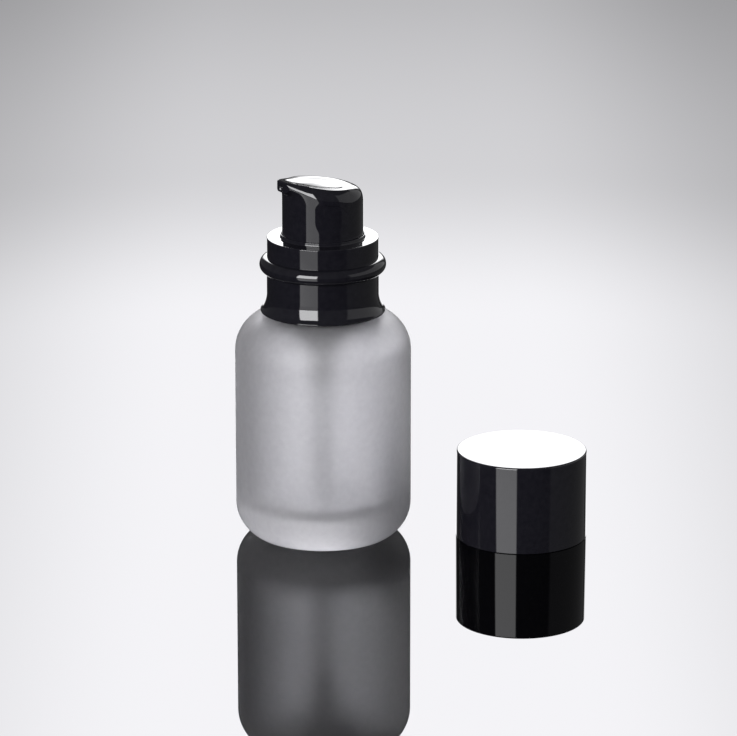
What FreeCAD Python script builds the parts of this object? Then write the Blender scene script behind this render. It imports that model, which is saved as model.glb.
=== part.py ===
import FreeCAD, Part
import math
import os

# Glass bottle with a treatment pump and a loose overcap, in millimetres.
# The origin is the centre of the bottle's flat base, +Z is up and the spout points along -X.
os.makedirs("parts", exist_ok=True)

Vector = FreeCAD.Vector
UP = Vector(0, 0, 1)
ALONG_Y = Vector(0, 1, 0)
CENTRE = Vector(0, 0, 0)
ROOM = 30.0

# Glass bottle: body, shoulder, heel and a neck with one turn of a 3.175 mm pitch thread.
BODY_R = 19.0
SHOULDER_R = 8.55
SHOULDER_TOP = 49.7
HEEL_R = 8.05
HEEL_CENTRE_Z = 7.1
WALL = 2.5
BASE_THICK = 6.8
INNER_HEEL_R = 4.0
NECK_R = 8.8
NECK_BORE_R = 6.5
NECK_TOP = 58.3
NECK_LAND_ROUND = 0.4
NECK_FILLET = 1.0

# Screw thread between the neck and the closure.
LEAD = 3.175
NECK_THREAD_START = 53.2
NECK_THREAD_CREST_R = 9.75
NECK_THREAD_BASE = 1.5
NECK_THREAD_CREST = 0.9
CLOSURE_THREAD_CREST_R = 9.2
CLOSURE_THREAD_BASE = 1.2
CLOSURE_THREAD_CREST = 0.7
THREAD_ROOT_BURY = 0.2

# Collar shell: flared foot, straight skirt, bead ring, upper spigot and a raised lip round the hole.
COLLAR_BORE_R = 11.1
COLLAR_BOTTOM = 49.95
FOOT_R = 13.46
SKIRT_R = 12.13
FOOT_ROUND = 0.5
FLARE_R = 4.3
FLARE_BOTTOM = 51.0
FLARE_TOP = 53.6
BEAD_Z = 60.25
BEAD_ROUND = 1.7
BEAD_CENTRE_R = 12.0
SPIGOT_R = 12.04
COLLAR_TOP = 66.3
COLLAR_ROOF = 1.0
COLLAR_EDGE = 0.2
COLLAR_HOLE_R = 8.87
LIP_R = 9.17
LIP_TOP = 67.05

# Threaded closure inside the collar shell.
CLOSURE_R = 11.05
CLOSURE_INNER_R = 10.1
CLOSURE_BOTTOM = 50.3
CLOSURE_ROOF_BOTTOM = 60.15
CLOSURE_TOP = 61.1
CLOSURE_HOLE_R = 5.5

# Pump housing, its seals and the stem guide.
SEAL_GAP = 0.02
GASKET_BORE_R = 5.9
FLANGE_R = 8.4
FLANGE_BOTTOM = 59.1
FLANGE_TOP = 60.1
BARREL_R = 4.9
BARREL_BORE_R = 3.3
BARREL_BOTTOM = 43.8
SPRING_LEDGE = 44.6
GUIDE_BORE_R = 4.0
GUIDE_BOTTOM = 57.7
TAIL_R = 2.7
TAIL_BOTTOM = 33.5
TAIL_TOP = 41.8
INLET_R = 0.75
SEAT_BOTTOM = 40.7
BALL_CHAMBER_R = 1.75
TUBE_STOP = 40.0
NIB_BOTTOM = 44.0
NIB_REACH_R = 1.05
NIB_WIDTH = 0.6
NIB_BURY = 0.3
VENT_HOLE_R = 0.3
VENT_HOLE_Z = 57.3
GUIDE_R = 3.95
GUIDE_HOLE_R = 2.1
GUIDE_FLANGE_R = 5.4
GUIDE_FLANGE_TOP = 60.9
GUIDE_TOP = 61.4
GUIDE_TUBE_R = 2.9
SEAL_POCKET_R = 3.0
SEAL_POCKET_TOP = 58.5
SEAL_CLEARANCE = 0.05
SEAL_HOLE_R = 2.06

# Moving column: stem, rod, piston, spring and ball.
STEM_R = 2.0
STEM_BORE_R = 1.2
STEM_BOTTOM = 56.9
STEM_TOP = 72.3
STEM_STOP_R = 2.45
STEM_STOP_TOP = 57.65
STEM_FOOT_CHAMFER = 0.2
STEM_STOP_CHAMFER = 0.3
STEM_TIP_TAPER = 0.4
ROD_BOTTOM = 50.6
ROD_HEAD_BOTTOM = 52.5
ROD_HEAD_TOP = 53.1
ROD_HEAD_R = 2.95
ROD_SPIGOT_R = 1.9
ROD_NECK_R = 0.95
ROD_PLUG_R = 1.17
ROD_TOP = 60.0
ROD_CHAMFER = 0.3
ROD_CONE = 1.0
ROD_PLUG_STEP = 0.2
ROD_FLUTE = 0.5
ROD_FLUTE_FLOOR_R = 0.75
ROD_FLUTE_START = 56.4
ROD_NOTCH = 1.0
ROD_NOTCH_FLOOR_R = 2.45
PISTON_LIP_R = 3.25
PISTON_WAIST_R = 3.0
PISTON_SKIRT_R = 2.65
PISTON_BORE_R = 1.3
PISTON_BOTTOM = 53.7
PISTON_TOP = 56.8
PISTON_WEB_TOP = 56.2
PISTON_LIP_HEIGHT = 0.4
PISTON_LIP_SLANT = 0.4
PISTON_LIP_GROOVE = 0.2
PISTON_GROOVE_DEPTH = 0.9
PISTON_WEB = 0.6
PISTON_SEAT_R = 1.75
PISTON_SEAT_DEPTH = 0.5
PISTON_FOOT_R = 2.25
PISTON_FOOT_RISE = 0.1
SPRING_R = 2.6
WIRE_R = 0.25
SPRING_TURNS = 7
COIL_STEPS = 12
CLOSED_PITCH = 0.53
SPRING_END_GAP = 0.03
BALL_R = 1.25
BALL_GAP = 0.04

# Dip tube, cut at a slant at its lower end.
TUBE_R = 1.6
TUBE_BORE_R = 1.1
TUBE_SOCKET_R = 1.62
TUBE_BOTTOM = 8.2
TUBE_CUT_DEG = 30

# Push button: round shell, spout and scooped finger pad that slopes down away from the spout.
BUTTON_R = 8.77
BUTTON_BOTTOM = 65.6
BUTTON_INNER_R = 7.65
SPOUT_REACH = 10.2
SPOUT_HALF_WIDTH = 2.25
SPOUT_RIDGE_Z = 79.3
SPOUT_FLOOR_Z = 77.2
SPOUT_ROOT = 2.2
RIDGE_SLOPE = 0.79
FLOOR_SLOPE = 0.84
PAD_LOW_X = 9.17
PAD_LOW_Z = 77.546
PAD_ROLL_R = 83.3
PAD_THICK = 2.5
PAD_BACK_ROUND = 3.6
PAD_BACK_R = 12.5
PAD_BACK_GAP = 0.02
DISH_CENTRE = 1.2
DISH_HALF_LENGTH = 7.3
DISH_HALF_WIDTH = 5.7
DISH_DEPTH = 0.7
DISH_TILT = 0.12
DISH_MID_Z = 78.2
DUCT_R = 1.25
OUTLET_R = 0.65

# Button core: stem socket, locating disc and outlet channel.
CORE_R = 3.0
CORE_BOTTOM = 66.2
CORE_TOP = 75.0
CORE_DISC_R = 7.6
CORE_DISC_BOTTOM = 69.0
CORE_DISC_TOP = 70.0
SOCKET_R = 2.04
SOCKET_TOP = 72.4
RISER_R = 0.8
CHANNEL_BOTTOM_Z = 74.0
CHANNEL_END_Z = 78.2
NOZZLE_TUBE_R = 1.2
NOZZLE_TUBE_REACH = 8.5

# Overcap standing on the same surface, to the right and in front of the bottle.
CAP_X = 35.62
CAP_Y = -24.22
CAP_TOP_R = 14.1
CAP_RIM_R = 14.2
CAP_HEIGHT = 19.34
CAP_BORE_R = 13.1
CAP_ROOF = 0.9
CAP_EDGE = 0.33
CAP_RIM_ROUND = 0.15
LINER_R = 13.05
LINER_GRIP_R = 12.14
LINER_RELIEF_R = 12.3
LINER_BOTTOM = 0.6
LINER_GRIP_TOP = 5.2
LINER_TOP = 17.4
LINER_STEP = 0.2


def at(r, z):
    """A point of an outline that turns about the Z axis."""
    return Vector(r, 0, z)


def on_arc(centre_r, centre_z, radius, degrees):
    """The point of a circle in the outline plane at an angle from +r towards +z."""
    turn = math.radians(degrees)
    return at(centre_r + radius * math.cos(turn), centre_z + radius * math.sin(turn))


def arc(centre_r, centre_z, radius, start, end):
    """An arc edge in the outline plane between two angles in degrees."""
    first = on_arc(centre_r, centre_z, radius, start)
    middle = on_arc(centre_r, centre_z, radius, (start + end) / 2)
    last = on_arc(centre_r, centre_z, radius, end)
    return Part.Arc(first, middle, last).toShape()


def turned(pieces):
    """A solid of revolution about Z from points and arcs in order; straight runs join them."""
    edges = []
    ends = []
    for piece in pieces:
        if isinstance(piece, Part.Shape):
            ends.append((piece.valueAt(piece.FirstParameter), piece.valueAt(piece.LastParameter), piece))
        else:
            ends.append((piece, piece, None))
    for here, after in zip(ends, ends[1:] + ends[:1]):
        if here[2] is not None:
            edges.append(here[2])
        if here[1].distanceToPoint(after[0]) > 1e-6:
            edges.append(Part.makeLine(here[1], after[0]))
    face = Part.Face(Part.Wire(edges))
    return face.revolve(CENTRE, UP, 360)


def tube(outer, inner, bottom, top):
    """A plain round tube about Z."""
    outside = Part.makeCylinder(outer, top - bottom, Vector(0, 0, bottom), UP)
    inside = Part.makeCylinder(inner, top - bottom, Vector(0, 0, bottom), UP)
    return outside.cut(inside)


def thread(root_r, crest_r, base, crest, start_z):
    """One turn of a right-hand trapezoid thread ridge, buried a little at its root."""
    outward = 1 if crest_r > root_r else -1
    buried_r = root_r - outward * THREAD_ROOT_BURY
    corners = [
        at(buried_r, start_z - base / 2),
        at(crest_r, start_z - crest / 2),
        at(crest_r, start_z + crest / 2),
        at(buried_r, start_z + base / 2),
    ]
    profile = Part.makePolygon(corners + corners[:1])
    spine = Part.Wire(Part.makeHelix(LEAD, LEAD, root_r).Edges)
    spine.translate(Vector(0, 0, start_z))
    return spine.makePipeShell([profile], True, True)


def round_at(solid, radius, places):
    """Rounds the circular edges of a turned solid that pass through (r, z) places."""
    chosen = []
    for edge in solid.Edges:
        if not isinstance(edge.Curve, Part.Circle):
            continue
        for place_r, place_z in places:
            same_r = abs(edge.Curve.Radius - place_r) < 1e-4
            if same_r and abs(edge.Curve.Center.z - place_z) < 1e-4:
                chosen.append(edge)
    return solid.makeFillet(radius, chosen)


def glass_bottle():
    """Round body with thick base, rounded heel and shoulder, and a threaded neck."""
    heel_centre_r = BODY_R - HEEL_R
    heel_end = -math.degrees(math.asin(HEEL_CENTRE_Z / HEEL_R))
    shoulder_centre_r = BODY_R - SHOULDER_R
    shoulder_centre_z = SHOULDER_TOP - SHOULDER_R
    inner_r = BODY_R - WALL
    inner_shoulder_r = SHOULDER_R - WALL
    inner_heel_z = BASE_THICK + INNER_HEEL_R
    glass = turned([
        at(0, 0),
        arc(heel_centre_r, HEEL_CENTRE_Z, HEEL_R, heel_end, 0),
        arc(shoulder_centre_r, shoulder_centre_z, SHOULDER_R, 0, 90),
        at(NECK_R, SHOULDER_TOP),
        at(NECK_R, NECK_TOP),
        at(NECK_BORE_R, NECK_TOP),
        at(NECK_BORE_R, SHOULDER_TOP - WALL),
        arc(shoulder_centre_r, shoulder_centre_z, inner_shoulder_r, 90, 0),
        arc(inner_r - INNER_HEEL_R, inner_heel_z, INNER_HEEL_R, 0, -90),
        at(0, BASE_THICK),
    ])
    glass = round_at(glass, NECK_LAND_ROUND, [(NECK_R, NECK_TOP), (NECK_BORE_R, NECK_TOP)])
    glass = round_at(glass, NECK_FILLET, [(NECK_R, SHOULDER_TOP)])
    ridge = thread(NECK_R, NECK_THREAD_CREST_R, NECK_THREAD_BASE, NECK_THREAD_CREST, NECK_THREAD_START)
    return glass.fuse(ridge)


def neck_gasket():
    """Flat seal between the pump flange and the top of the neck."""
    return tube(FLANGE_R, GASKET_BORE_R, NECK_TOP + SEAL_GAP, FLANGE_BOTTOM - SEAL_GAP)


def collar_shell():
    """Glossy outer collar that hides the closure and carries the overcap."""
    foot_centre_z = COLLAR_BOTTOM + FOOT_ROUND
    flare_angle = math.degrees(math.asin((FLARE_TOP - FLARE_BOTTOM) / FLARE_R))
    bead_low = -math.degrees(math.acos((SKIRT_R - BEAD_CENTRE_R) / BEAD_ROUND))
    bead_high = math.degrees(math.acos((SPIGOT_R - BEAD_CENTRE_R) / BEAD_ROUND))
    lip_round = (LIP_R - COLLAR_HOLE_R) / 2
    roof = COLLAR_TOP - COLLAR_ROOF
    shell = turned([
        at(COLLAR_BORE_R, COLLAR_BOTTOM),
        at(FOOT_R - COLLAR_EDGE, COLLAR_BOTTOM),
        arc(FOOT_R - FOOT_ROUND, foot_centre_z, FOOT_ROUND, -30, 50),
        arc(SKIRT_R + FLARE_R, FLARE_TOP, FLARE_R, 180 + flare_angle, 180),
        arc(BEAD_CENTRE_R, BEAD_Z, BEAD_ROUND, bead_low, bead_high),
        at(SPIGOT_R, COLLAR_TOP),
        at(LIP_R, COLLAR_TOP),
        arc(LIP_R - lip_round, LIP_TOP - lip_round, lip_round, 0, 180),
        at(COLLAR_HOLE_R, roof),
        at(COLLAR_BORE_R, roof),
    ])
    return round_at(shell, COLLAR_EDGE, [(SPIGOT_R, COLLAR_TOP)])


def threaded_closure():
    """Inner screw cap that clamps the pump flange on the neck."""
    shell = turned([
        at(CLOSURE_INNER_R, CLOSURE_BOTTOM),
        at(CLOSURE_R, CLOSURE_BOTTOM),
        at(CLOSURE_R, CLOSURE_TOP),
        at(CLOSURE_HOLE_R, CLOSURE_TOP),
        at(CLOSURE_HOLE_R, CLOSURE_ROOF_BOTTOM),
        at(CLOSURE_INNER_R, CLOSURE_ROOF_BOTTOM),
    ])
    start = NECK_THREAD_START - LEAD / 2
    ridge = thread(CLOSURE_INNER_R, CLOSURE_THREAD_CREST_R, CLOSURE_THREAD_BASE, CLOSURE_THREAD_CREST, start)
    return shell.fuse(ridge)


def pump_housing():
    """Pump cylinder with mounting flange, spring ledge, ball seat, vent hole and dip tube socket."""
    seat_top = SEAT_BOTTOM + BALL_CHAMBER_R - INLET_R
    housing = turned([
        at(TUBE_SOCKET_R, TAIL_BOTTOM),
        at(TAIL_R, TAIL_BOTTOM),
        at(TAIL_R, TAIL_TOP),
        at(BARREL_R, BARREL_BOTTOM),
        at(BARREL_R, FLANGE_BOTTOM),
        at(FLANGE_R, FLANGE_BOTTOM),
        at(FLANGE_R, FLANGE_TOP),
        at(GUIDE_BORE_R, FLANGE_TOP),
        at(GUIDE_BORE_R, GUIDE_BOTTOM),
        at(BARREL_BORE_R, GUIDE_BOTTOM),
        at(BARREL_BORE_R, SPRING_LEDGE),
        at(BALL_CHAMBER_R, SPRING_LEDGE),
        at(BALL_CHAMBER_R, seat_top),
        at(INLET_R, SEAT_BOTTOM),
        at(INLET_R, TUBE_STOP),
        at(TUBE_SOCKET_R, TUBE_STOP),
    ])
    reach = BALL_CHAMBER_R + NIB_BURY - NIB_REACH_R
    nib_height = SPRING_LEDGE - NIB_BOTTOM
    for turn in (0, 120, 240):
        nib = Part.makeBox(reach, NIB_WIDTH, nib_height, Vector(NIB_REACH_R, -NIB_WIDTH / 2, NIB_BOTTOM))
        nib.rotate(CENTRE, UP, turn)
        housing = housing.fuse(nib)
    vent = Part.makeCylinder(VENT_HOLE_R, BARREL_R, Vector(0, 0, VENT_HOLE_Z), ALONG_Y)
    return housing.cut(vent)


def stem_guide():
    """Ring snapped into the housing: it guides the stem and holds the vent seal."""
    return turned([
        at(SEAL_POCKET_R, GUIDE_BOTTOM + SEAL_GAP),
        at(GUIDE_R, GUIDE_BOTTOM + SEAL_GAP),
        at(GUIDE_R, FLANGE_TOP + SEAL_GAP),
        at(GUIDE_FLANGE_R, FLANGE_TOP + SEAL_GAP),
        at(GUIDE_FLANGE_R, GUIDE_FLANGE_TOP),
        at(GUIDE_TUBE_R, GUIDE_FLANGE_TOP),
        at(GUIDE_TUBE_R, GUIDE_TOP),
        at(GUIDE_HOLE_R, GUIDE_TOP),
        at(GUIDE_HOLE_R, SEAL_POCKET_TOP),
        at(SEAL_POCKET_R, SEAL_POCKET_TOP),
    ])


def vent_seal():
    """Soft ring that the stem's stop shoulder closes at rest."""
    bottom = GUIDE_BOTTOM + SEAL_CLEARANCE
    top = SEAL_POCKET_TOP - SEAL_CLEARANCE
    return tube(SEAL_POCKET_R - SEAL_CLEARANCE, SEAL_HOLE_R, bottom, top)


def stem():
    """Hollow stem from the piston to the button, with a stop shoulder under the guide."""
    return turned([
        at(STEM_BORE_R, STEM_BOTTOM),
        at(STEM_R - STEM_FOOT_CHAMFER, STEM_BOTTOM),
        at(STEM_STOP_R, STEM_BOTTOM + STEM_STOP_CHAMFER),
        at(STEM_STOP_R, STEM_STOP_TOP),
        at(STEM_R, STEM_STOP_TOP),
        at(STEM_R, STEM_TOP - STEM_TIP_TAPER),
        at(STEM_R - STEM_STOP_CHAMFER, STEM_TOP),
        at(STEM_BORE_R, STEM_TOP),
    ])


def piston_rod():
    """Fluted rod pressed into the stem; its cone closes the piston and its head takes the spring."""
    rod = turned([
        at(0, ROD_BOTTOM),
        at(ROD_SPIGOT_R - ROD_CHAMFER, ROD_BOTTOM),
        at(ROD_SPIGOT_R, ROD_BOTTOM + ROD_CHAMFER),
        at(ROD_SPIGOT_R, ROD_HEAD_BOTTOM),
        at(ROD_HEAD_R, ROD_HEAD_BOTTOM),
        at(ROD_HEAD_R, ROD_HEAD_TOP),
        at(ROD_SPIGOT_R, ROD_HEAD_TOP),
        at(ROD_NECK_R, ROD_HEAD_TOP + ROD_CONE),
        at(ROD_NECK_R, STEM_BOTTOM),
        at(ROD_PLUG_R, STEM_BOTTOM + ROD_PLUG_STEP),
        at(ROD_PLUG_R, ROD_TOP - ROD_CHAMFER),
        at(ROD_PLUG_R - ROD_CHAMFER, ROD_TOP),
        at(0, ROD_TOP),
    ])
    flute_length = ROD_TOP - ROD_FLUTE_START + 1
    notch_bottom = ROD_HEAD_BOTTOM - (ROD_NOTCH - (ROD_HEAD_TOP - ROD_HEAD_BOTTOM)) / 2
    for turn in (0, 90, 180, 270):
        flute_corner = Vector(ROD_FLUTE_FLOOR_R, -ROD_FLUTE / 2, ROD_FLUTE_START)
        flute = Part.makeBox(1, ROD_FLUTE, flute_length, flute_corner)
        flute.rotate(CENTRE, UP, turn)
        rod = rod.cut(flute)
        notch_corner = Vector(ROD_NOTCH_FLOOR_R, -ROD_NOTCH / 2, notch_bottom)
        notch = Part.makeBox(ROD_NOTCH, ROD_NOTCH, ROD_NOTCH, notch_corner)
        notch.rotate(CENTRE, UP, turn + 45)
        rod = rod.cut(notch)
    return rod


def piston():
    """Sliding seal with a lip at each end, closed from below by the rod's cone."""
    lip_low = PISTON_BOTTOM + PISTON_LIP_HEIGHT
    lip_high = PISTON_TOP - PISTON_LIP_HEIGHT
    web_bottom = PISTON_WEB_TOP - PISTON_WEB
    return turned([
        at(PISTON_SEAT_R, PISTON_BOTTOM),
        at(PISTON_FOOT_R, PISTON_BOTTOM + PISTON_FOOT_RISE),
        at(PISTON_SKIRT_R, PISTON_BOTTOM + PISTON_GROOVE_DEPTH),
        at(PISTON_SKIRT_R + PISTON_LIP_GROOVE, PISTON_BOTTOM),
        at(PISTON_LIP_R, PISTON_BOTTOM),
        at(PISTON_LIP_R, lip_low),
        at(PISTON_WAIST_R, lip_low + PISTON_LIP_SLANT),
        at(PISTON_WAIST_R, lip_high - PISTON_LIP_SLANT),
        at(PISTON_LIP_R, lip_high),
        at(PISTON_LIP_R, PISTON_TOP),
        at(PISTON_SKIRT_R + PISTON_LIP_GROOVE, PISTON_TOP),
        at(PISTON_SKIRT_R, web_bottom),
        at(PISTON_SEAT_R, web_bottom),
        at(PISTON_SEAT_R, PISTON_WEB_TOP),
        at(PISTON_BORE_R, PISTON_WEB_TOP),
        at(PISTON_BORE_R, PISTON_BOTTOM + PISTON_SEAT_DEPTH),
    ])


def return_spring():
    """Compression spring with a closed coil at each end, between the housing ledge and the rod's head."""
    bottom = SPRING_LEDGE + WIRE_R + SPRING_END_GAP
    height = ROD_HEAD_BOTTOM - WIRE_R - SPRING_END_GAP - bottom
    open_pitch = (height - 2 * CLOSED_PITCH) / (SPRING_TURNS - 2)
    points = []
    for step in range(SPRING_TURNS * COIL_STEPS + 1):
        turns = step / COIL_STEPS
        open_turns = min(max(turns - 1, 0), SPRING_TURNS - 2)
        rise = open_turns * open_pitch + (turns - open_turns) * CLOSED_PITCH
        angle = 2 * math.pi * turns
        points.append(Vector(SPRING_R * math.cos(angle), SPRING_R * math.sin(angle), bottom + rise))
    line = Part.BSplineCurve()
    line.interpolate(points)
    section = Part.Wire(Part.makeCircle(WIRE_R, points[0], ALONG_Y))
    return Part.Wire(line.toShape()).makePipeShell([section], True, True)


def inlet_ball():
    """Check valve ball resting on the housing's conical seat."""
    cone_apex = SEAT_BOTTOM - INLET_R
    return Part.makeSphere(BALL_R, Vector(0, 0, cone_apex + BALL_R * math.sqrt(2) + BALL_GAP))


def dip_tube():
    """Suction tube with a slanted lower end."""
    pipe = tube(TUBE_R, TUBE_BORE_R, TUBE_BOTTOM, TUBE_STOP - SEAL_GAP)
    cutter = Part.makeBox(ROOM, ROOM, ROOM, Vector(-ROOM / 2, -ROOM / 2, -ROOM))
    cutter.rotate(CENTRE, ALONG_Y, TUBE_CUT_DEG)
    rise = TUBE_R * math.tan(math.radians(TUBE_CUT_DEG))
    cutter.translate(Vector(0, 0, TUBE_BOTTOM + rise))
    return pipe.cut(cutter)


def pad_roll(drop):
    """The wide roller whose underside is the pad's crest surface, lowered by drop."""
    middle_z = PAD_LOW_Z + PAD_ROLL_R - drop
    return Part.makeCylinder(PAD_ROLL_R, 2 * ROOM, Vector(PAD_LOW_X, -ROOM, middle_z), ALONG_Y)


def teardrop(bottom, top):
    """Upright prism: the button's circle drawn out in straight tangents to the spout's tip."""
    corner_distance = math.hypot(SPOUT_REACH, SPOUT_HALF_WIDTH)
    corner_angle = math.atan2(SPOUT_HALF_WIDTH, SPOUT_REACH)
    touch_angle = corner_angle + math.acos(BUTTON_R / corner_distance)
    touch = Vector(-BUTTON_R * math.cos(touch_angle), BUTTON_R * math.sin(touch_angle), bottom)
    far = Vector(BUTTON_R, 0, bottom)
    near = Vector(touch.x, -touch.y, bottom)
    tip_left = Vector(-SPOUT_REACH, SPOUT_HALF_WIDTH, bottom)
    tip_right = Vector(-SPOUT_REACH, -SPOUT_HALF_WIDTH, bottom)
    outline = Part.Wire([
        Part.Arc(touch, far, near).toShape(),
        Part.makeLine(near, tip_right),
        Part.makeLine(tip_right, tip_left),
        Part.makeLine(tip_left, touch),
    ])
    return Part.Face(outline).extrude(Vector(0, 0, top - bottom))


def spout_section(reach, half_width, ridge_z, floor_z, top):
    """Upright section across the spout: flat top, straight sides and a rounded floor."""
    left_top = Vector(-reach, half_width, top)
    left = Vector(-reach, half_width, ridge_z)
    floor = Vector(-reach, 0, floor_z)
    right = Vector(-reach, -half_width, ridge_z)
    right_top = Vector(-reach, -half_width, top)
    return Part.Wire([
        Part.makeLine(left_top, left),
        Part.Arc(left, floor, right).toShape(),
        Part.makeLine(right, right_top),
        Part.makeLine(right_top, left_top),
    ])


def rounded_back():
    """A wider upright drum that just clears the button's back, under the pad, with a rounded edge."""
    offset = PAD_BACK_R - BUTTON_R - PAD_BACK_GAP
    bottom = PAD_LOW_Z - ROOM
    drum = Part.makeCylinder(PAD_BACK_R, 2 * ROOM, Vector(-offset, 0, bottom), UP)
    drum = drum.cut(pad_roll(0)).Solids[0]
    top_edges = []
    for edge in drum.Edges:
        if not isinstance(edge.Curve, (Part.Circle, Part.Line)):
            top_edges.append(edge)
    return drum.makeFillet(PAD_BACK_ROUND, top_edges)


def button_outside():
    """Outer form of the button: round body, spout and curved pad, before hollowing."""
    top = PAD_LOW_Z + ROOM / 4
    body = Part.makeCylinder(BUTTON_R, top - BUTTON_BOTTOM, Vector(0, 0, BUTTON_BOTTOM), UP)
    run = SPOUT_REACH - SPOUT_ROOT
    tip = spout_section(SPOUT_REACH, SPOUT_HALF_WIDTH, SPOUT_RIDGE_Z, SPOUT_FLOOR_Z, top)
    root = spout_section(SPOUT_ROOT, SPOUT_HALF_WIDTH + run, SPOUT_RIDGE_Z - run * RIDGE_SLOPE,
                         SPOUT_FLOOR_Z - run * FLOOR_SLOPE, top)
    spout = Part.makeLoft([root, tip], True, True).common(teardrop(BUTTON_BOTTOM, top))
    return body.fuse(spout).removeSplitter().common(rounded_back())


def dish():
    """Scoop of the finger pad: a flattened ball sunk into the slope."""
    scoop = Part.makeSphere(1)
    stretch = FreeCAD.Matrix()
    stretch.scale(Vector(DISH_HALF_LENGTH, DISH_HALF_WIDTH, DISH_DEPTH))
    scoop = scoop.transformGeometry(stretch)
    scoop.rotate(CENTRE, ALONG_Y, math.degrees(math.atan(DISH_TILT)))
    scoop.translate(Vector(-DISH_CENTRE, 0, DISH_MID_Z))
    return scoop


def outlet(radius, start, end):
    """A straight round bar along the outlet channel between two distances from the axis."""
    rise = (CHANNEL_END_Z - CHANNEL_BOTTOM_Z) / SPOUT_REACH
    first = Vector(-start, 0, CHANNEL_BOTTOM_Z + rise * start)
    last = Vector(-end, 0, CHANNEL_BOTTOM_Z + rise * end)
    run = last - first
    return Part.makeCylinder(radius, run.Length, first, run)


def actuator_shell():
    """Glossy push button with spout, hollow below."""
    button = button_outside().cut(dish())
    cavity = Part.makeCylinder(BUTTON_INNER_R, ROOM, Vector(0, 0, BUTTON_BOTTOM - 1), UP)
    button = button.cut(cavity.cut(pad_roll(PAD_THICK)))
    button = button.cut(outlet(DUCT_R, 0, NOZZLE_TUBE_REACH + 0.1))
    return button.cut(outlet(OUTLET_R, 0, SPOUT_REACH + 2))


def actuator_core():
    """Inner piece of the button: stem socket, locating disc and tube to the spout."""
    core = Part.makeCylinder(CORE_R, CORE_TOP - CORE_BOTTOM, Vector(0, 0, CORE_BOTTOM), UP)
    disc_height = CORE_DISC_TOP - CORE_DISC_BOTTOM
    core = core.fuse(Part.makeCylinder(CORE_DISC_R, disc_height, Vector(0, 0, CORE_DISC_BOTTOM), UP))
    core = core.fuse(outlet(NOZZLE_TUBE_R, 0, NOZZLE_TUBE_REACH))
    core = core.cut(Part.makeCylinder(SOCKET_R, SOCKET_TOP - CORE_BOTTOM, Vector(0, 0, CORE_BOTTOM), UP))
    core = core.cut(Part.makeCylinder(RISER_R, CHANNEL_BOTTOM_Z - SOCKET_TOP, Vector(0, 0, SOCKET_TOP), UP))
    core = core.cut(Part.makeSphere(RISER_R, Vector(0, 0, CHANNEL_BOTTOM_Z)))
    return core.cut(outlet(OUTLET_R, 0, SPOUT_REACH))


def overcap_shell():
    """Glossy cap with slightly tapered wall and flat top."""
    cap = turned([
        at(CAP_BORE_R, 0),
        at(CAP_RIM_R, 0),
        at(CAP_TOP_R, CAP_HEIGHT),
        at(0, CAP_HEIGHT),
        at(0, CAP_HEIGHT - CAP_ROOF),
        at(CAP_BORE_R, CAP_HEIGHT - CAP_ROOF),
    ])
    cap = round_at(cap, CAP_EDGE, [(CAP_TOP_R, CAP_HEIGHT)])
    cap = round_at(cap, CAP_RIM_ROUND, [(CAP_RIM_R, 0)])
    cap.translate(Vector(CAP_X, CAP_Y, 0))
    return cap


def overcap_liner():
    """Sleeve inside the cap; its lower part grips the collar's upper spigot."""
    liner = turned([
        at(LINER_GRIP_R, LINER_BOTTOM),
        at(LINER_R, LINER_BOTTOM),
        at(LINER_R, LINER_TOP),
        at(LINER_RELIEF_R, LINER_TOP),
        at(LINER_RELIEF_R, LINER_GRIP_TOP + LINER_STEP),
        at(LINER_GRIP_R, LINER_GRIP_TOP),
    ])
    liner.translate(Vector(CAP_X, CAP_Y, 0))
    return liner


PIECES = [
    glass_bottle,
    neck_gasket,
    threaded_closure,
    collar_shell,
    pump_housing,
    stem_guide,
    vent_seal,
    stem,
    piston_rod,
    piston,
    return_spring,
    inlet_ball,
    dip_tube,
    actuator_shell,
    actuator_core,
    overcap_shell,
    overcap_liner,
]

for make_piece in PIECES:
    piece = make_piece()
    piece.exportStep("parts/" + make_piece.__name__ + ".step")
    box = piece.BoundBox
    print(make_piece.__name__, "solids", len(piece.Solids), "valid", piece.isValid(),
          "volume", round(piece.Volume, 2), "z", round(box.ZMin, 2), round(box.ZMax, 2))
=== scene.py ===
import math

import bpy
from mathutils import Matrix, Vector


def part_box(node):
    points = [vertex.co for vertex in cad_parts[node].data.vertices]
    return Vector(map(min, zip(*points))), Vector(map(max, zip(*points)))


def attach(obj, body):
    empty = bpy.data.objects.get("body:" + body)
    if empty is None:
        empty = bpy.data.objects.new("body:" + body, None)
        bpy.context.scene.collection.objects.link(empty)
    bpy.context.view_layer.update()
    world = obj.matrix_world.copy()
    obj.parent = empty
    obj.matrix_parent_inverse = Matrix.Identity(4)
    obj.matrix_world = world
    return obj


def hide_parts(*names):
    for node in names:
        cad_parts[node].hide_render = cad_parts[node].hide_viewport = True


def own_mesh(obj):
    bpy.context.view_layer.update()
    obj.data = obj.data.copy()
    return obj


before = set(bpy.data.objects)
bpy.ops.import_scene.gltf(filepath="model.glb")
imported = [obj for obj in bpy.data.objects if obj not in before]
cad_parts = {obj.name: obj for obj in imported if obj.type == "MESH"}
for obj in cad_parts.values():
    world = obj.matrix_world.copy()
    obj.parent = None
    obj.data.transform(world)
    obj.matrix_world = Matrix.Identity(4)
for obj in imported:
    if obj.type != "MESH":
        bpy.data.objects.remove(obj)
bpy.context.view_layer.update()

# Foundation bottle with a treatment pump, and its cap standing beside it. Lengths are in
# millimetres, which MM turns into metres, and angles are in degrees, unless a comment says
# otherwise. The bottle's base centre is the origin, +Z is up and the spout points along -X.
MM = 0.001

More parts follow.
